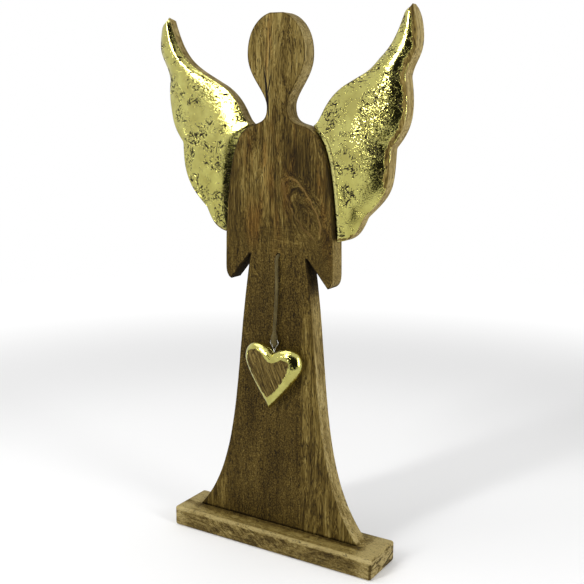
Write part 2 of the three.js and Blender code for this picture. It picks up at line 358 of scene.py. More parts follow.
def wood(f, along, figure, tone, tan, seed, warp=None, fuzz=None):
    """Brown open-pored wood. along is the grain's axis, figure the width of its streaks, tone a
    value that lightens it, tan a share of paler colour, seed a shift to another part of the tree.
    Returns its colour, its height and its roughness."""
    def drawn_out(width, length):
        """Sizes of lumps that are drawn out along the grain."""
        return tuple(length if axis == along else width for axis in range(3))

    moved = f.vector("ADD", f.place, tuple(seed))
    sway = f.cloud(moved, drawn_out(26, 110), 2)
    shift = f.times(f.add(sway, -0.5), 26.0)
    if warp is not None:
        shift = f.add(shift, warp)
    slide = f.point(*(0.0 if axis == along else shift for axis in range(3)))
    bent = f.vector("ADD", moved, slide)

    def streak(width, length, detail, roughness=0.55):
        return f.cloud(bent, drawn_out(width, length), detail, roughness)

    bands = streak(figure, figure * 22, 3)
    fibres = streak(1.3, 30, 4, 0.7)
    hairs = streak(0.5, 11, 2)
    pores = streak(0.75, 7, 1)
    fleck = f.cloud(bent, (1.1, 1.1, 1.5), 3, 0.6)
    lean = f.add(f.times(bands, 0.9), f.times(fibres, 1.3), f.times(hairs, 0.6), -0.89)
    if fuzz is not None:
        soft = f.add(f.times(bands, 0.25), f.times(fleck, 1.1), f.times(fibres, 0.3), -0.33)
        lean = f.between(fuzz, lean, soft)
    lean = f.add(lean, tone)
    colour = f.tones(
        lean,
        (0.18, (0.0160, 0.0090, 0.0008)),
        (0.38, (0.0620, 0.0380, 0.0055)),
        (0.52, (0.1200, 0.0790, 0.0155)),
        (0.68, (0.2050, 0.1450, 0.0370)),
        (0.88, (0.3200, 0.2450, 0.0780)),
    )
    pale = f.tones(
        lean,
        (0.20, (0.0850, 0.0550, 0.0120)),
        (0.40, (0.1900, 0.1330, 0.0380)),
        (0.55, (0.3000, 0.2250, 0.0780)),
        (0.78, (0.4300, 0.3420, 0.1450)),
    )
    colour = f.blend(tan, colour, pale)
    pits = f.rise(pores, 0.58, 0.66)
    colour = f.blend(f.times(pits, 0.8), colour, (0.007, 0.004, 0.001, 1))
    height = f.add(f.times(fibres, 0.8), f.times(hairs, 0.5), f.times(pits, -0.9))
    roughness = f.rise(lean, 0.3, 0.8, 0.66, 0.5)
    return colour, height, roughness


f = Finish("waxed_light_wood")
swirls = f.add(f.cloud(f.place, (26, 20, 9), 3, 0.6, 2.2), -0.5)
ends = f.rise(f.math("ABSOLUTE", f.x), plinth_half - 23, plinth_half - 9)
end_face = f.rise(f.math("ABSOLUTE", f.x), plinth_half - 2.5, plinth_half - 0.5)
front_face = f.rise(f.y, plinth_front + 2.5, plinth_front + 0.5)
top_face = f.rise(f.z, plinth_top - 2, plinth_top - 0.4)
# Painted shadow: foot darkens the plinth's top in a strip along the foot of the board.
foot = f.times(top_face, f.rise(f.y, -14, -8.2), f.rise(f.y, -4, -5), f.rise(f.x, 100, 90))
# Painted highlight: the front top edge is painted lighter and paler, more so towards the right.
painted_arris_highlight = f.times(
    f.rise(f.z, plinth_top - 4.5, plinth_top - 2),
    f.rise(f.y, plinth_front + 3.5, plinth_front + 1.5),
)
corner = f.times(
    f.rise(f.x, plinth_half - 2.6, plinth_half - 1.4),
    f.rise(f.y, plinth_front + 2.1, plinth_front + 0.9),
    f.rise(f.z, plinth_top - 3, plinth_top - 6),
)
slant = f.turned(f.place, 50)
curls = f.add(f.cloud(slant, (1.7, 20, 11), 3, 0.6, 0.8), -0.5)
curls = f.times(curls, front_face, f.rise(f.x, -95, -55), f.rise(f.x, 60, 10))
plinth_tone = f.add(
    f.times(swirls, f.rise(end_face, 0, 1, 1.0, 3.0), f.rise(top_face, 0, 1, 1.0, 0.5)),
    curls,
    f.times(ends, 0.16),
    f.times(end_face, -0.10),
    f.times(front_face, -0.12),
    # painted shadow along the board's foot
    f.times(foot, -0.22),
    # painted light: the top is painted lighter at its right end
    f.times(top_face, f.rise(f.x, 92, 98), 0.15),
    f.times(painted_arris_highlight, f.rise(f.x, -80, 20, 0.26, 0.36)),
    f.times(corner, -0.4),
    f.times(top_face, 0.08),
    0.05,
)
plinth_tan = f.add(f.times(ends, 0.4), f.times(painted_arris_highlight, 0.35), f.times(front_face, 0.18), 0.1)
curl = f.times(f.add(f.cloud(f.place, (9, 9, 5), 2), -0.5), 22.0)
colour, height, roughness = wood(f, 0, 7, plinth_tone, plinth_tan, (310, 20, 70), warp=curl, fuzz=0.3)
plinth_finish = f.surface(
    Base_Color=colour,
    Roughness=roughness,
    Normal=f.relief(height, 0.12, 0.7),
    Specular_IOR_Level=0.12,
)
points, faces = eased_block(plinth_low, plinth_high, plinth_round)
plinth = skin("plinth_block", points, faces, plinth_finish)
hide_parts("plinth")
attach(plinth, "root")


# Figure board. One flat board of dark brown open-pored wood with a paler plank in the robe's right
# side, sawn to the angel's outline with a saw cut under each sleeve, then sanded, drilled for the
# cord and waxed. It stands upright on the plinth.
board_low, board_high = (np.array(corner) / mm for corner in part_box("angel_board"))
board_front, board_back = board_low[1], board_high[1]
hem_height = board_low[2]
figure_height = board_high[2] - hem_height
hem_half_left = -board_low[0]
hem_half_right = board_high[0]
slit_half = 30.1
sleeve_half = 58.2
cuff_inset = 5.7
shoulder_half = 35.5
neck_half = 10.9
head_half = 30.1
head_lean = -2.4
saw_kerf = 1.2
arris_round = 1.2
hole_radius = 2.6
hole_place = Vector((0.6, hem_height + 264.2))


def sweep(start, end, leave, arrive, steps):
    """Points of a Bezier curve. leave and arrive place its handles, each by its share of the
    chord's length along the chord and to the left of it."""
    along = end - start
    left = Vector((-along.y, along.x))
    first, second = (start + along * a + left * b for a, b in (leave, arrive))
    curve = []
    for i in range(steps + 1):
        t = i / steps
        s = 1 - t
        curve.append(s**3 * start + 3 * s * s * t * first + 3 * s * t * t * second + t**3 * end)
    return curve


def chain(*curves):
    """Joins curves end to end, with each shared point once."""
    return [p for curve in curves[:-1] for p in curve[:-1]] + list(curves[-1])


def on_figure(half_width, share):
    """A point half_width to the right of the middle, at a share of the figure's height."""
    return Vector((half_width, hem_height + share * figure_height))


shoulder = on_figure(shoulder_half, 0.788)
wing_foot = on_figure(sleeve_half - 0.5, 0.586)
flank = sweep(wing_foot, shoulder, (0.56, -0.09), (0.87, -0.12), 60)


def figure_half(hem_half, lean):
    hem = on_figure(hem_half, 0)
    slit_top = on_figure(slit_half, 0.55)
    slit_outer = slit_top + Vector((saw_kerf, 0))
    cuff_point = on_figure(sleeve_half - cuff_inset, 0.497)
    cuff_top = on_figure(sleeve_half, 0.527)
    neck = on_figure(neck_half + lean / 2, 0.83)
    cheek = on_figure(head_half + lean, 0.926)
    crown = on_figure(head_half * 0.2 + lean, 1)
    straight = (1 / 3, 0), (2 / 3, 0)
    return chain(
        sweep(hem, slit_top, (0.25, 0.14), (0.6, 0.02), 130),
        [slit_top, slit_outer],
        sweep(slit_outer, cuff_point, *straight, 16),
        sweep(cuff_point, cuff_top, (0.25, -0.23), (0.57, -0.18), 14),
        sweep(cuff_top, wing_foot, *straight, 16),
        flank,
        sweep(shoulder, neck, (0.39, 0), (0.65, 0.43), 30),
        sweep(neck, cheek, (0.26, 0.11), (0.61, -0.16), 36),
        sweep(cheek, crown, (0.36, -0.25), (0.75, -0.23), 36),
    )


def mirrored(points):
    return [Vector((-p.x, p.y)) for p in reversed(points)]


def outward(outline):
    """Unit normals of a closed outline that runs counter-clockwise, longer at sharp corners."""
    ring = np.array([tuple(p) for p in outline])
    edges = np.roll(ring, -1, axis=0) - ring
    edges /= np.linalg.norm(edges, axis=1)[:, None]
    normals = np.stack([edges[:, 1], -edges[:, 0]], axis=1)
    mean = normals + np.roll(normals, 1, axis=0)
    size = np.linalg.norm(mean, axis=1)[:, None]
    return mean / size / np.maximum(size / 2, 0.6)


def sawn_board(outline, hole, front, back, ease, hole_ease):
    """A board with an outline in X and Z and a round hole, its edges eased front and back. Returns
    points and faces, and a mark that is 1 on its sawn sides."""
    loops = (
        (np.array([tuple(p) for p in outline]), outward(outline), ease),
        (hole, -outward([Vector(p) for p in hole]), hole_ease),
    )
    turns = [math.pi / 2 * i / 4 for i in range(5)]
    points, sawn, faces = [], [], []
    caps = ([], [])
    for ring, normals, round_off in loops:
        section = [(1.4, 0, 0)] + [(1 - math.sin(a), 1 - math.cos(a), math.sin(a)) for a in turns]
        section = [(inset, front + depth * round_off, side) for inset, depth, side in section]
        section += [(inset, front + back - y, side) for inset, y, side in reversed(section)]
        wander = [round_off * (1 + 0.45 * noise.noise(Vector((*p, 0)) / 14)) for p in ring]
        rows = []
        for inset, y, side in section:
            row = range(len(points), len(points) + len(ring))
            points += [(x - nx * inset * w, y, z - nz * inset * w)
                       for (x, z), (nx, nz), w in zip(ring, normals, wander)]
            sawn += [side] * len(ring)
            rows.append(row)
        faces += strips(rows)
        caps[0].append(rows[0])
        caps[1].append(rows[-1])
    for rows in caps:
        order = [number for row in rows for number in row]
        flat = [[Vector((points[i][0], points[i][2], 0)) for i in row] for row in rows]
        faces += [tuple(order[i] for i in corners) for corners in geometry.tessellate_polygon(flat)]
    return points, faces, sawn


right_outline = figure_half(hem_half_right, head_lean)
left_outline = figure_half(hem_half_left, -head_lean)
outline = chain(right_outline, mirrored(left_outline))
outline = [p for i, p in enumerate(outline) if (p - outline[i - 1]).length > 0.05]
hole_turns = np.linspace(0, 2 * math.pi, 40, endpoint=False)[::-1]
hole = np.array([hole_place + hole_radius * Vector((math.cos(a), math.sin(a))) for a in hole_turns])
points, faces, sawn = sawn_board(outline, hole, board_front, board_back, arris_round, hole_ease=0.4)

f = Finish("waxed_dark_wood")
sawn_side = f.node("Attribute", output="Fac", attribute_name="sawn_side")
joint_wave = f.times(f.cloud(f.place, (30, 30, 14), 2), 4.0)
joint = f.add(f.x, f.times(f.add(f.z, -120), 0.012), joint_wave)
right_plank = f.times(f.rise(joint, 24.0, 30.0), f.rise(f.z, 285, 185))
chest_figure = f.times(
    f.spot((29, 322), (22, 50), 35),
    f.cloud(f.place, (14, 14, 22), 2),
    58.0,
)
sleeve_figure = f.times(f.spot((50, 276), (13, 17), -30), 22.0)
brow_figure = f.times(f.spot((6, 452), (22, 50)), 7.0)
warp = f.add(chest_figure, sleeve_figure, brow_figure)
mottled = f.times(
    f.rise(f.z, 330, 270),
    f.rise(right_plank, 1.0, 0.1),
    f.rise(f.x, -70, -30, 0.4, 1.0),
)
ripples = f.add(f.cloud(f.place, (12, 12, 1.6), 2, 0.5, 0.8), -0.45)
ripples = f.times(f.spot((8, 300), (40, 34)), ripples)
shoulder_shade = f.spot((54, 347), (10, 30))
chest_shade = f.spot((26, 345), (36, 64))
crown_shade = f.spot((12, 476), (16, 30))
hem_shade = f.rise(f.z, hem_height + 3.0, hem_height + 1.0)
patchy = f.times(f.add(f.cloud(f.place, (26, 26, 60), 2), -0.5), 0.34)
tone = f.add(
    patchy,
    f.rise(f.z, 380, 440, 0.0, 0.15),
    f.rise(f.z, 320, 200, 0.0, -0.06),
    f.times(right_plank, 0.13),
    f.times(ripples, 0.55),
    -0.07,
    f.times(shoulder_shade, -0.12),
    f.times(chest_shade, -0.12),
    f.times(hem_shade, -0.2),
    f.times(crown_shade, -0.06),
)
# The sawn faces in the saw cuts under the sleeves are darkened towards the top of each cut: saw burn,
# together with painted shade under the sleeve.
flank_share = f.times(f.rise(f.x, 33.5, 32), f.rise(f.x, 20, 25))
flank_gloom = f.rise(f.z, 240, 277)
under_sleeve = f.between(flank_share, f.rise(f.z, 232, 268), flank_gloom)
inside_cuff = f.rise(f.math("ABSOLUTE", f.x), 57, 53)
under_sleeve = f.times(under_sleeve, f.rise(f.z, 287, 284), inside_cuff)
slit_burn_and_painted_shade = f.times(sawn_side, under_sleeve)
# Painted shade: a dark line along the eased edge between the front and the sawn sides, darker on the
# head.
painted_edge_shade = f.times(
    f.rise(sawn_side, 0.02, 0.2),
    f.rise(sawn_side, 0.9, 0.5),
    f.rise(f.z, 380, 410, -0.12, -0.26),
)
beside_wing = f.times(sawn_side, f.rise(f.z, 298, 306), f.rise(f.z, 400, 390))
tone = f.add(tone, f.times(slit_burn_and_painted_shade, -0.27), f.times(beside_wing, -0.22), painted_edge_shade)
tan = f.times(
    sawn_side,
    f.rise(f.x, -10, 20, 0.5, 1.0),
    f.rise(under_sleeve, 1.0, 0.0),
    f.rise(beside_wing, 1.0, 0.0),
    f.rise(f.z, 395, 430, 1.0, 0.6),
)
colour, height, roughness = wood(f, 2, 6.5, tone, tan, (0, 0, 0), warp=warp, fuzz=mottled)


def crack(f, top, bottom, width, wobble=2.0):
    """A split that follows the grain from top to bottom, given as (x, z), as a share from 0 to 1."""
    (x1, z1), (x0, z0) = top, bottom
    share = f.math("DIVIDE", f.add(f.z, -z0), z1 - z0, clamp=True)
    wander = f.times(f.add(f.cloud(f.place, (60, 60, 12), 2), -0.5), wobble)
    offset = f.math("SUBTRACT", f.x, f.add(f.times(share, x1 - x0), x0, wander))
    belly = f.times(f.math("SINE", f.times(share, math.pi)), width / 2)
    return f.rise(f.math("SUBTRACT", belly, f.math("ABSOLUTE", offset)), -0.15, 0.35)


splits = crack(f, (-15.2, 456), (-8.6, 403), 2.5)
for split in (
    crack(f, (-8, 494), (-9.6, 428), 0.9),
    crack(f, (-7.4, 446), (-12.0, 424), 1.4),
    crack(f, (-12.2, 478), (-12.6, 430), 0.7, 1.0),
):
    splits = f.math("MAXIMUM", splits, split)
splits = f.times(splits, f.rise(f.y, board_front + 6, board_front + 2))
red_streaks = f.rise(f.cloud(f.place, (10, 10, 60), 3, 0.6), 0.5, 0.75)
redness = f.add(
    f.times(f.spot((-28, 312), (12, 34)), 0.5),
    f.times(f.spot((-11, 440), (2.6, 46)), 0.12),
    f.times(red_streaks, f.rise(f.z, 250, 330), 0.42),
)
front = f.rise(sawn_side, 0.5, 0.1)
colour = f.blend(f.times(redness, front), colour, f.vector("MULTIPLY", colour, (1.35, 0.85, 0.45)))
knot_x, knot_z = 26, 329
curve = f.reach((knot_x, knot_z), (12.5, 38), 33)
beside_curve = f.add(curve, -1.0, f.times(f.cloud(f.place, (8, 8, 8), 2), 0.3))
bright_line = f.rise(f.math("ABSOLUTE", beside_curve), 0.09, 0.02)
upper_right = f.add(f.times(f.add(f.x, -knot_x), 0.85), f.times(f.add(f.z, -knot_z), 0.53))
both_sides = f.add(f.rise(upper_right, 1, 5), f.rise(upper_right, -2, -7, 0.0, 0.5))
bright_line = f.times(bright_line, both_sides, front)
colour = f.blend(f.times(bright_line, 0.45), colour, (0.26, 0.155, 0.042, 1))
# The splits are real and sink in the relief; their near-black colour is painted shade deep inside them.
colour = f.blend(splits, colour, (0.006, 0.003, 0.0015, 1))
height = f.add(height, f.times(splits, -5.0))
board_finish = f.surface(
    Base_Color=colour,
    Roughness=f.math("MAXIMUM", roughness, slit_burn_and_painted_shade),
    Normal=f.relief(height, 0.14, 0.8),
    Specular_IOR_Level=0.1,
)
board = skin("angel_figure", points, faces, board_finish, sawn_side=sawn)
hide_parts("angel_board")
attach(board, "root")


# Wings. Each is sawn from the same wood, rounded over in front like a pillow and left flat behind,
# and set against the figure's flank. Metal leaf covers its front as far as the worn edge. Towards
# their tips the left one is wider and the right one thicker.
wing_span = 91.1
wing_rise = 102.4
wing_crown = 17.0
wing_edge = 12.0
wing_foot_thickness = 9.5
wing_arris = 1.6
right_tip_fuller = 5.2
left_side_fuller = 2.4
left_middle_fuller = 3.0
left_tip_fuller = 1.6
glue_line = 0.3


def wing_edges():
    """The wing's inner and outer edge from its foot to its tip, as arrays of as many points."""
    def place(reach, rise):
        return shoulder + Vector((reach * wing_span, rise * wing_rise))

    tip, nose, bend = place(1, 1), place(-0.017, 0.045), place(0.313, 0.375)
    notch_low = place(0.536, -0.722)
    notch_middle = place(0.814, -0.131)
    notch_high = place(0.946, 0.441)
    run = np.array([tuple(p) for p in flank])
    along = np.gradient(run, axis=0)
    along /= np.linalg.norm(along, axis=1)[:, None]
    glued = run + np.stack([along[:, 1], -along[:, 0]], axis=1) * glue_line
    foot = Vector(glued[0])
    free = chain(
        sweep(nose, bend, (0.2, -0.08), (0.46, 0.16), 30),
        sweep(bend, tip, (0.44, -0.14), (0.55, -0.23), 54),
    )
    outer = chain(
        sweep(foot, notch_low, (0.43, -0.31), (0.72, -0.12), 26),
        sweep(notch_low, notch_middle, (0.46, -0.21), (0.49, -0.18), 44),
        sweep(notch_middle, notch_high, (0.29, -0.16), (0.5, -0.19), 38),
        sweep(notch_high, tip, (0.32, -0.02), (0.31, -0.26), 38),
    )
    inner = np.vstack([glued, [tuple(p) for p in free]])
    outer = np.array([tuple(p) for p in outer])
    reach = np.linspace(0, 1, len(outer))
    paired = np.linspace(0, 1, len(inner))
    outer = np.stack([np.interp(paired, reach, outer[:, k]) for k in range(2)], axis=1)
    return inner, outer


def swell(value, start, end):
    """Goes smoothly from 0 to 1 while value goes from start to end."""
    share = np.clip((value - start) / (end - start), 0, 1)
    return share * share * (3 - 2 * share)


def wing_mesh(side, tip_rounding, tip_thickness):
    """Rows of points from the wing's foot to its tip, each once round the wing, as points, faces
    and distances from the outer and the inner edge. side is -1 on the left and 1 on the right."""
    inner, outer = wing_edges()
    reach = np.linspace(0, 1, len(inner))
    short_of_tip = swell(reach, 1.0, 0.982)
    if side > 0:
        inner[:, 0] -= right_tip_fuller * swell(reach, 0.70, 0.82) * short_of_tip
    else:
        fuller = left_side_fuller * swell(reach, 0.3, 0.45)
        fuller += left_middle_fuller * swell(reach, 0.62, 0.74)
        fuller += left_tip_fuller * swell(reach, 0.84, 0.92)
        outer[:, 0] += fuller * short_of_tip
    count, across = len(inner), 36
    turns = [math.pi / 2 * i / 4 for i in range(4)]
    points, rim, hug, rows = [], [], [], []
    for i in range(count):
        u = i / (count - 1)
        fullness = math.sin(math.pi * u) ** 0.4
        chord = outer[i] - inner[i]
        width = max(np.linalg.norm(chord), 1e-4)
        ease = min(wing_arris, width * 0.25)
        edge = wing_foot_thickness + fullness * (wing_edge - wing_foot_thickness)
        below_tip = min(1, (outer[-1][1] - outer[i][1]) / tip_rounding + 0.01)
        worn_back = edge * (1 - math.sqrt(1 - (1 - below_tip) ** 2))
        edge += swell(u, 0.2, 0.85) * (tip_thickness - edge)
        spots = [(0.0, 0.0)]
        spots += [(ease * (1 - math.cos(a)) / width, edge - ease * (1 - math.sin(a))) for a in turns]
        inset = ease / width
        crown = fullness * (wing_crown - wing_edge)
        for j in range(across + 1):
            q = -math.cos(math.pi * j / across)
            pillow = 1 - abs(q) ** 2.6
            spots.append((inset + (1 - 2 * inset) * (1 + q) / 2, edge + crown * pillow))
        spots += [(1 - share, depth) for share, depth in reversed(spots[: len(turns) + 1])]
        row = []
        for share, depth in spots:
            x, z = inner[i] + chord * share
            on_front = depth > edge - ease * 0.6
            row.append(len(points))
            points.append((side * x, board_back - max(depth, worn_back), z))
            rim.append(np.linalg.norm(outer - (x, z), axis=1).min() if on_front else -2.0)
            hug.append(np.linalg.norm(inner - (x, z), axis=1).min() if on_front else -2.0)
        rows.append(row)
    return points, strips(rows), rim, hug


def dashes(f, place, turn, length, width, amount):
    """Scattered short cracks that lean by turn, in degrees."""
    lumps = f.cloud(f.turned(place, turn), (length, length, width), 1)
    return f.rise(lumps, 0.66 - amount, 0.668 - amount)


def gold_leaf(name, seed, border, crinkled_outside, facet_tilt):
    """Metal leaf over brown wood. rim and hug are the distances from the piece's outer and inner
    edge. border is how far in from the outer edge the wood shows. crinkled_outside tells which
    edge the leaf is crinkled along, and its facets lean by up to half of facet_tilt."""
    f = Finish(name)
    moved = f.vector("ADD", f.place, tuple(seed))
    rim = f.node("Attribute", output="Fac", attribute_name="rim")
    hug = f.node("Attribute", output="Fac", attribute_name="hug")
    tatter = f.times(f.add(f.cloud(moved, (5, 5, 5), 4, 0.65), -0.5), 9.0)
    worn = f.add(f.rise(f.z, 338, 354, 0.0, border), f.rise(f.z, 312, 303, 0.0, 2.5))
    inner_worn = f.rise(f.z, 395, 425, 0.0, border * -0.35)
    leaf = f.times(
        f.rise(f.math("SUBTRACT", f.add(rim, tatter), worn), -0.15, 0.2),
        f.rise(f.add(hug, f.times(tatter, 0.4), inner_worn), -0.7, -0.5),
    )
    kept_arris = f.times(
        f.rise(f.math("ABSOLUTE", f.add(rim, -0.3)), 0.8, 0.5),
        f.rise(f.cloud(moved, (9, 9, 16), 3, 0.6), 0.52, 0.55),
        f.rise(f.z, 462, 444),
    )
    clusters = f.rise(f.cloud(moved, (17, 17, 15), 2), 0.50, 0.55)
    specks = f.rise(f.cloud(moved, (2.2, 2.2, 2.0), 3, 0.65), 0.63, 0.65)
    specks = f.times(specks, f.rise(clusters, 0, 0.5))
    cracks = dashes(f, moved, turn=25, length=5.6, width=1.3, amount=0.038)
    for crossing in (
        dashes(f, moved, turn=-38, length=4.8, width=1.2, amount=0.044),
        dashes(f, moved, turn=80, length=5.0, width=1.2, amount=0.034),
    ):
        cracks = f.math("MAXIMUM", cracks, crossing)
    cracks = f.times(cracks, clusters)
    bends = f.node("TexNoise", {"Vector": moved, "Scale": 0.12}, "Color")
    bends = f.vector("SCALE", bends, Scale=9.0)
    plates = {"Vector": f.vector("SCALE", f.vector("ADD", moved, bends), Scale=1 / 13)}
    crease = f.node("TexVoronoi", plates, "Distance", feature="DISTANCE_TO_EDGE")
    torn = f.times(f.rise(crease, 0.030, 0.016), f.rise(f.cloud(moved, (8, 8, 8), 3), 0.54, 0.57))
    split = f.rise(f.cloud(moved, (7, 7, 1.5), 3, 0.6), 0.60, 0.62)
    split = f.times(split, f.rise(hug, 12, 5))
    bare = f.math("MAXIMUM", f.math("MAXIMUM", specks, cracks), f.math("MAXIMUM", torn, split))
    tarnish = f.cloud(moved, (14, 14, 18), 3, 0.6)
    gold = f.tones(tarnish, (0.35, (0.66, 0.60, 0.15)), (0.65, (0.84, 0.79, 0.22)))
    tone = f.add(f.times(f.add(f.cloud(moved, (20, 20, 40), 2), -0.5), 0.25), 0.04)
    tan = f.rise(f.math("MINIMUM", rim, f.add(hug, 1.0)), 0.6, -0.6)
    colour, height, roughness = wood(f, 2, 5, tone, f.times(tan, 0.9), seed)
    colour = f.blend(f.times(bare, leaf), colour, (0.014, 0.009, 0.002, 1))
    leaf = f.math("MAXIMUM", f.times(leaf, f.rise(bare, 1.0, 0.0)), kept_arris)
    outside = f.math("SUBTRACT", hug, rim) if crinkled_outside else f.math("SUBTRACT", rim, hug)
    crinkled = f.times(f.rise(outside, -26, 10, 0.12, 1.0), f.rise(f.z, 455, 405, 0.3, 1.0))
    crinkle = f.add(
        f.times(f.cloud(moved, (1.2, 1.2, 1.2), 3, 0.6), f.rise(crinkled, 0, 1, 0.15, 0.6)),
        f.times(f.cloud(moved, (6, 6, 6), 2), 0.6),
    )
    calm = f.times(f.rise(rim, 8, 17, 0.4, 1.0), f.rise(f.z, 330, 430, 0.5, 1.2))
    normal = f.facets(moved, 0.9, f.times(f.rise(crinkled, 0, 1, 0.03, facet_tilt), leaf, calm))
    # Painted light: on the wing crinkled along its outside, a strip of leaf along the inner edge is
    # painted paler and made less metallic, where the leaf would otherwise mirror the dark board.
    painted_lit_strip = f.times(f.rise(hug, 7.5, 2.5), f.rise(f.z, 404, 384), float(crinkled_outside))
    gold = f.blend(painted_lit_strip, gold, (0.95, 0.89, 0.31, 1))
    height = f.between(leaf, f.add(f.times(height, 0.5), -0.6), crinkle)
    finish = f.surface(
        Base_Color=f.blend(leaf, colour, gold),
        Metallic=f.times(leaf, f.rise(painted_lit_strip, 0, 1, 1.0, 0.25)),
        Roughness=f.between(leaf, roughness, f.rise(painted_lit_strip, 0, 1, 0.1, 0.45)),
        Specular_IOR_Level=0.12,
        Coat_Weight=f.times(leaf, f.rise(painted_lit_strip, 0, 1, 0.9, 0.0), f.rise(f.z, 335, 400, 0.35, 1.0)),
        Coat_Roughness=0.1,
        Coat_Normal=normal,
        Normal=f.relief(height, 0.3, 0.6, under=normal),
    )
    return finish


wings = {
    "wing_left": {
        "side": -1,
        "leaf": {"border": 0.0, "crinkled_outside": False, "facet_tilt": 0.08},
        "tip": {"tip_rounding": 3.0, "tip_thickness": 9.5},
    },
    "wing_right": {
        "side": 1,
        "leaf": {"border": 4.0, "crinkled_outside": True, "facet_tilt": 0.26},
        "tip": {"tip_rounding": 15.0, "tip_thickness": 14.5},
    },
}
for name, kind in wings.items():
    finish = gold_leaf(name + "_leaf", (kind["side"] * 90, 40, 15), **kind["leaf"])
    points, faces, rim, hug = wing_mesh(kind["side"], **kind["tip"])
    wing = skin(name + "_gilded", points, faces, finish, rim=rim, hug=hug)
    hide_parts(name)
    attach(wing, "root")


# Heart. A flat piece of wood with a fat rounded rim. The rim and the back are gilded, and the
# middle of the front is sanded bare, with its grain on the slant. It hangs by the wire eye.
heart_low, heart_high = (np.array(corner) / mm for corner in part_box("heart_pendant"))
heart_width = 61.2
heart_height = 61.0
heart_thickness = heart_high[1] - heart_low[1]
heart_rim = 11.0
heart_tilt = math.radians(4.2)
heart_grain_slant = 24
eye_top = Vector((-0.4, board_front - 5, 206.2))
eye_lean = 1.9
eye_height = 12.5
cleft_share = 0.88
heart_middle = (heart_low[1] + heart_high[1]) / 2
eye_foot = Vector((eye_top.x + eye_lean, heart_middle, eye_top.z - eye_height))
heart_axis = Vector((math.sin(heart_tilt), 0, math.cos(heart_tilt)))
heart_point = eye_foot - heart_axis * cleft_share * heart_height


def heart_outline():
    point = Vector((0, 0))
    side = Vector((heart_width / 2, heart_height * 0.77))
    lobe_top = Vector((heart_width * 0.28, heart_height))
    cleft = Vector((0, heart_height * cleft_share))
    half = chain(
        sweep(point, side, (0.28, -0.03), (0.83, -0.11), 34),
        sweep(side, lobe_top, (0.3, -0.29), (0.71, -0.3), 26),
        sweep(lobe_top, cleft, (0.4, -0.17), (0.77, -0.12), 22),
    )
    return half + mirrored(half)[1:-1]


def heart_mesh():
    """Rings of the heart's outline, drawn in towards its middle over the rim and on to the flat."""
    outline = np.array([tuple(p) for p in heart_outline()])
    middle = np.array((0, heart_height * 0.6))
    flat_share = 1 - 2 * heart_rim / heart_width
    half = heart_thickness / 2
    section = []
    steps = 14
    for i in range(-steps, steps + 1):
        angle = math.pi / 2 * i / steps
        share = flat_share + (1 - flat_share) * math.cos(angle)
        section.append((share, half * math.sin(angle)))
    inner = [flat_share * k / 8 for k in range(7, 0, -1)]
    front = [(share, -half) for share in reversed(inner)]
    back = [(share, half) for share in inner]
    points, rim, rows = [], [], []
    turn = Matrix.Rotation(heart_tilt, 3, "Y")
    for share, y in front + section + back:
        row = []
        for p in outline:
            x, z = middle + (p - middle) * share
            away = np.linalg.norm(outline - (x, z), axis=1).min()
            row.append(len(points))
            points.append(tuple(turn @ Vector((x, y, z)) + heart_point))
            rim.append(away)
        rows.append(row)
    faces = strips(rows)
    for row, y in ((rows[0], -half), (rows[-1], half)):
        hub = len(points)
        points.append(tuple(turn @ Vector((middle[0], y, middle[1])) + heart_point))
        rim.append(20.0)
        faces += [(hub, row[j - 1], number) for j, number in enumerate(row)]
    return points, faces, rim


f = Finish("gilded_heart")
rim = f.node("Attribute", output="Fac", attribute_name="rim")
tatter = f.times(f.add(f.cloud(f.place, (4, 4, 4), 4, 0.65), -0.5), 6.0)
bare_edge = f.add(
    5.6,
    f.times(f.add(f.x, 4), 0.12),
    f.rise(f.z, 165, 190, 0.0, 1.4),
    f.rise(f.z, 160, 147, 0.0, 1.8),
)
leaf = f.rise(f.math("SUBTRACT", f.add(rim, tatter), bare_edge), 0.25, -0.1)
leaf = f.math("MAXIMUM", leaf, f.rise(f.y, heart_middle + 2, heart_middle + 4))
turned = f.turned(f.place, heart_grain_slant)
f.place = turned
colour, height, roughness = wood(f, 2, 3.0, -0.05, 0.1, (40, 15, 5))
tarnish = f.cloud(turned, (9, 9, 9), 3)
gold = f.tones(tarnish, (0.35, (0.66, 0.60, 0.14)), (0.65, (0.84, 0.79, 0.21)))
dents = f.times(f.cloud(turned, (3.5, 3.5, 3.5), 1), 1.3)
crinkle = f.add(f.cloud(turned, (1.1, 1.1, 1.1), 3, 0.6), dents)
height = f.between(leaf, f.add(height, -0.4), crinkle)
heart_finish = f.surface(
    Base_Color=f.blend(leaf, colour, gold),
    Metallic=leaf,
    Roughness=f.between(leaf, roughness, 0.1),
    Specular_IOR_Level=0.12,
    Coat_Weight=f.times(leaf, 0.9),
    Coat_Roughness=0.08,
    Normal=f.relief(height, 0.2, 0.6, under=f.facets(turned, 1.6, f.times(leaf, 0.12))),
)
points, faces, rim = heart_mesh()
heart = skin("hanging_heart", points, faces, heart_finish, rim=rim)
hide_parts("heart_pendant")
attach(heart, "root")


# Wire eye. A length of thin bright wire bent into an eye, its two legs pushed side by side into a
# hole in the heart's cleft.
wire_diameter = 0.7
wire_seat = 4.8
leg_half = 0.5


def smooth_route(points, per_span):
    """Points on a smooth curve that passes through the given points."""
    points = [Vector(p) for p in points]
    padded = [2 * points[0] - points[1], *points, 2 * points[-1] - points[-2]]
    route = []
    for i in range(1, len(padded) - 2):
        a, b, c, d = padded[i - 1 : i + 3]
        for k in range(per_span):
            t = k / per_span
            route.append(0.5 * (2 * b + (c - a) * t + (2 * a - 5 * b + 4 * c - d) * t * t
                                + (3 * b - a - 3 * c + d) * t**3))
    return [*route, points[-1]]


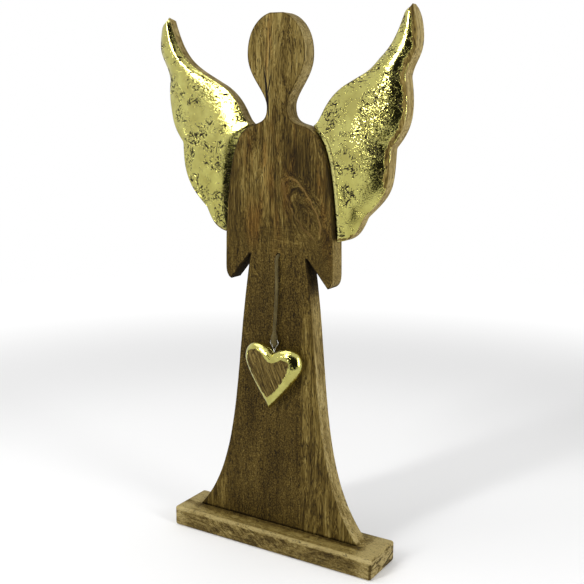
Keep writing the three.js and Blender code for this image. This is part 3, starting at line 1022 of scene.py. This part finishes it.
def strand(route, radius, sides=16, rough=0.0):
    """Points and faces of a round strand along a route. radius is a number or one per point, and
    rough is how far the surface wanders, as a share of the radius."""
    count = len(route)
    radii = np.broadcast_to(radius, count)
    points, rows = [], []
    tangent = (route[1] - route[0]).normalized()
    across = tangent.orthogonal().normalized()
    for i, centre in enumerate(route):
        ahead = (route[min(i + 1, count - 1)] - route[max(i - 1, 0)]).normalized()
        across = (across - ahead * across.dot(ahead)).normalized()
        up = ahead.cross(across)
        row = []
        for j in range(sides):
            angle = 2 * math.pi * j / sides
            out = across * math.cos(angle) + up * math.sin(angle)
            bump = 1 + rough * noise.noise((centre + out * radii[i]) * 0.9)
            row.append(len(points))
            points.append(tuple(centre + out * radii[i] * bump))
        rows.append(row)
    return points, [*strips(rows), tuple(rows[0]), tuple(rows[-1])]


f = Finish("bright_wire")
drawn = f.cloud(f.place, (0.3, 0.3, 2.5), 2)
wire_finish = f.surface(
    Base_Color=f.tones(drawn, (0.35, (0.48, 0.47, 0.44)), (0.65, (0.62, 0.61, 0.58))),
    Metallic=1.0,
    Roughness=f.rise(drawn, 0.3, 0.7, 0.18, 0.36),
    Normal=f.relief(drawn, 0.02, 0.4),
)
bow = [(0.6, 0.22), (2, 0.45), (4.1, 0.7), (3.9, 0.87), (2.2, 0.97)]
legs = [(leg_half, eye_foot + heart_axis * rise) for rise in (-wire_seat, 0)]
half_eye = legs + [(half, eye_foot.lerp(eye_top, share)) for half, share in bow]
right_half = [middle + Vector((half, 0, 0)) for half, middle in half_eye]
left_half = [middle - Vector((half, 0, 0)) for half, middle in reversed(half_eye)]
wire_route = smooth_route([*right_half, eye_top, *left_half], per_span=8)
points, faces = strand(wire_route, wire_diameter / 2, sides=12)
wire = skin("wire_eye", points, faces, wire_finish)
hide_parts("wire_eyelet")
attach(wire, "root")


# Cord. A grey-green suede cord, knotted behind the board, passed through the hole in the robe and
# knotted again round the wire eye, so that the heart hangs from it. It keeps its solid's route.
cord_diameter = 3.0
cord_drop = 78.0
cord_entry = hole_place.y
cord_bend = 5.0
cord_gap = 0.3
lip_drop = cord_bend - hole_radius
lip_depth = math.sqrt((cord_bend - cord_diameter / 2 - cord_gap) ** 2 - lip_drop**2)
cord_front = board_front + lip_depth - cord_bend
back_knot_radius = 1.35 * cord_diameter
bend_turns = [math.pi / 2 * i / 5 for i in range(6)]
over_lip = [(cord_bend * (1 - math.sin(a)), cord_bend * (1 - math.cos(a))) for a in bend_turns]
cord_points = [
    (hole_place.x, board_back + cord_gap + back_knot_radius, cord_entry),
    (hole_place.x, board_back - 2, cord_entry),
    (hole_place.x, (board_front + board_back) / 2 - 2, cord_entry),
    *((hole_place.x, cord_front + inward, cord_entry - down) for inward, down in over_lip),
    (0.9, cord_front, cord_entry - cord_drop * 0.27),
    (0.6, cord_front - 0.1, cord_entry - cord_drop * 0.5),
    (-0.2, cord_front - 0.5, cord_entry - cord_drop * 0.72),
    (-0.6, cord_front - 1.4, cord_entry - cord_drop * 0.88),
    tuple(eye_top),
]
cord_route = smooth_route(cord_points, per_span=10)

f = Finish("suede")
nap = f.cloud(f.place, (0.5, 0.5, 0.9), 4, 0.7)
worn = f.cloud(f.place, (3, 3, 9), 3)
suede = f.tones(
    f.add(f.times(nap, 0.5), f.times(worn, 0.5)),
    (0.3, (0.030, 0.023, 0.008)),
    (0.7, (0.150, 0.118, 0.045)),
)
suede_finish = f.surface(
    Base_Color=suede,
    Roughness=0.92,
    Specular_IOR_Level=0.12,
    Sheen_Weight=0.08,
    Sheen_Roughness=0.5,
    Normal=f.relief(nap, 0.25, 0.8),
)
points, faces = strand(cord_route, cord_diameter / 2, sides=16, rough=0.12)
cord = skin("suede_cord", points, faces, suede_finish)
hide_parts("pendant_cord")
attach(cord, "root")


def knot_route(centre, size, depth, steps=90):
    """A simple overhand knot pulled tight: a closed three-lobed loop, size across its lobes."""
    route = []
    for i in range(steps + 1):
        t = 2 * math.pi * i / steps
        turn = Vector((math.sin(t) + 2 * math.sin(2 * t), -depth * math.sin(3 * t),
                       math.cos(t) - 2 * math.cos(2 * t)))
        route.append(Vector(centre) + turn * size / 3)
    return route


knotted_radius = 1.25
back_knot_place = (hole_place.x, board_back + cord_gap + 0.6 * back_knot_radius, cord_entry)
back_knot_route = knot_route(back_knot_place, size=2.5, depth=1.0)
points, faces = strand(back_knot_route, knotted_radius, sides=14, rough=0.12)
back_knot = skin("back_knot", points, faces, suede_finish)
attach(back_knot, "root")

flare = [(-7.2, 0.3), (-6.8, 1.6), (-5.4, 2.5), (-3, 3.1), (-0.6, 3.1), (2, 2.6), (4.6, 2.0), (7.5, 1.5)]
flare_route = smooth_route([eye_top + Vector((0, 0, rise)) for rise, radius in flare], per_span=5)
flare_radii = np.interp([p.z - eye_top.z for p in flare_route], *zip(*flare))
points, faces = strand(flare_route, flare_radii, sides=20, rough=0.3)
wrap_steps = 40
wrap_turns = 1.45
wrap_wide = 2.5
wrap_narrow = 1.8
wrap_low = -4.2
wrap_high = 3.3
wrap = []
for i in range(wrap_steps + 1):
    share = i / wrap_steps
    angle = 2 * math.pi * (share * wrap_turns + 0.1)
    out = Vector((math.cos(angle), math.sin(angle), 0)) * (wrap_wide + (wrap_narrow - wrap_wide) * share)
    lift = wrap_low + (wrap_high - wrap_low) * share + 0.9 * math.sin(angle + 0.6)
    wrap.append(eye_top + out + Vector((0, 0, lift)))
more_points, more_faces = strand(wrap, 1.15, sides=12, rough=0.25)
faces += [tuple(number + len(points) for number in face) for face in more_faces]
points += more_points
front_knot = skin("front_knot", points, faces, suede_finish)
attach(front_knot, "root")
